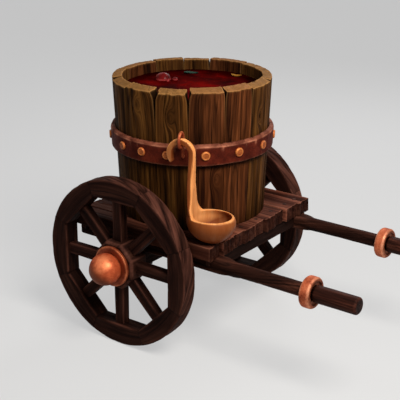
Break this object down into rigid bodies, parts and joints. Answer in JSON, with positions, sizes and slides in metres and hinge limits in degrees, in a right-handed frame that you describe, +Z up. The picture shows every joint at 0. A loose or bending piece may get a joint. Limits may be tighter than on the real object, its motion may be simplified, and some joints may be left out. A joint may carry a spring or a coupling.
{
  "type": "food cart",
  "caption": "Wooden hand-drawn food cart with spoked wheels, plank deck, draw shafts with grips, and an open coopered stew tub whose riveted hoop holds a hung ladle.",
  "frame": {"origin": "on the ground under the middle of the cart's bounding box", "axes": "+X forward along the shafts towards the grips, +Y towards the left wheel, +Z up"},
  "size_m": [1.1679, 0.964, 0.9119],
  "materials": {
    "cart_wood": "old dark hardwood, worn edges",
    "deck_wood": "rough split planks, weathered",
    "stave_wood": "stained, worn pale at the rim",
    "grip_wood": "dark, handled",
    "ladle_wood": "carved, bare",
    "copper": "beaten copper, half polished",
    "rivet_brass": "polished by wear",
    "hoop_metal": "maroon paint, worn edges",
    "stew": "dark red stew, wet",
    "vegetables": "cooked, damp",
    "iron": "black forged iron"
  },
  "bodies": {
    "cart": {"axle": "iron", "axle_beam": "cart_wood", "axle_straps": "iron", "axle_washers": "iron", "beam_bolts": "iron", "deck_pegs": "deck_wood", "deck_plank_1": "deck_wood", "deck_plank_2": "deck_wood", "deck_plank_3": "deck_wood", "deck_plank_4": "deck_wood", "front_rail": "cart_wood", "hoop": "hoop_metal", "hoop_rivets": "rivet_brass", "ladle_eye": "copper", "left_collar": "copper", "left_grip": "grip_wood", "left_shaft": "cart_wood", "linchpins": "iron", "middle_rail": "cart_wood", "rear_rail": "cart_wood", "right_collar": "copper", "right_grip": "grip_wood", "right_shaft": "cart_wood", "stave_01": "stave_wood", "stave_02": "stave_wood", "stave_03": "stave_wood", "stave_04": "stave_wood", "stave_05": "stave_wood", "stave_06": "stave_wood", "stave_07": "stave_wood", "stave_08": "stave_wood", "stave_09": "stave_wood", "stave_10": "stave_wood", "stave_11": "stave_wood", "stave_12": "stave_wood", "stave_13": "stave_wood", "stew": "stew", "tub_bottom": "stave_wood", "tub_dowels": "cart_wood", "vegetables": "vegetables"},
    "left_wheel": {"left_wheel_bush": "iron", "left_wheel_felloe_dowels": "cart_wood", "left_wheel_felloes": "cart_wood", "left_wheel_hub_cap": "copper", "left_wheel_nave": "cart_wood", "left_wheel_nave_ring": "copper", "left_wheel_spokes": "cart_wood"},
    "right_wheel": {"right_wheel_bush": "iron", "right_wheel_felloe_dowels": "cart_wood", "right_wheel_felloes": "cart_wood", "right_wheel_hub_cap": "copper", "right_wheel_nave": "cart_wood", "right_wheel_nave_ring": "copper", "right_wheel_spokes": "cart_wood"},
    "ladle": {"ladle": "ladle_wood"}
  },
  "joints": [
    {"name": "left_wheel_spin", "type": "hinge", "parent": "cart", "child": "left_wheel", "pos_m": [-0.284, 0.345, 0.3], "axis": [0, 1, 0], "continuous": true},
    {"name": "right_wheel_spin", "type": "hinge", "parent": "cart", "child": "right_wheel", "pos_m": [-0.284, -0.345, 0.3], "axis": [0, 1, 0], "continuous": true},
    {"name": "ladle_swing", "type": "hinge", "parent": "cart", "child": "ladle", "pos_m": [-0.07097, -0.27757, 0.73404], "axis": [0.2815, -0.9596, 0], "range_deg": [0, 40]}
  ]
}
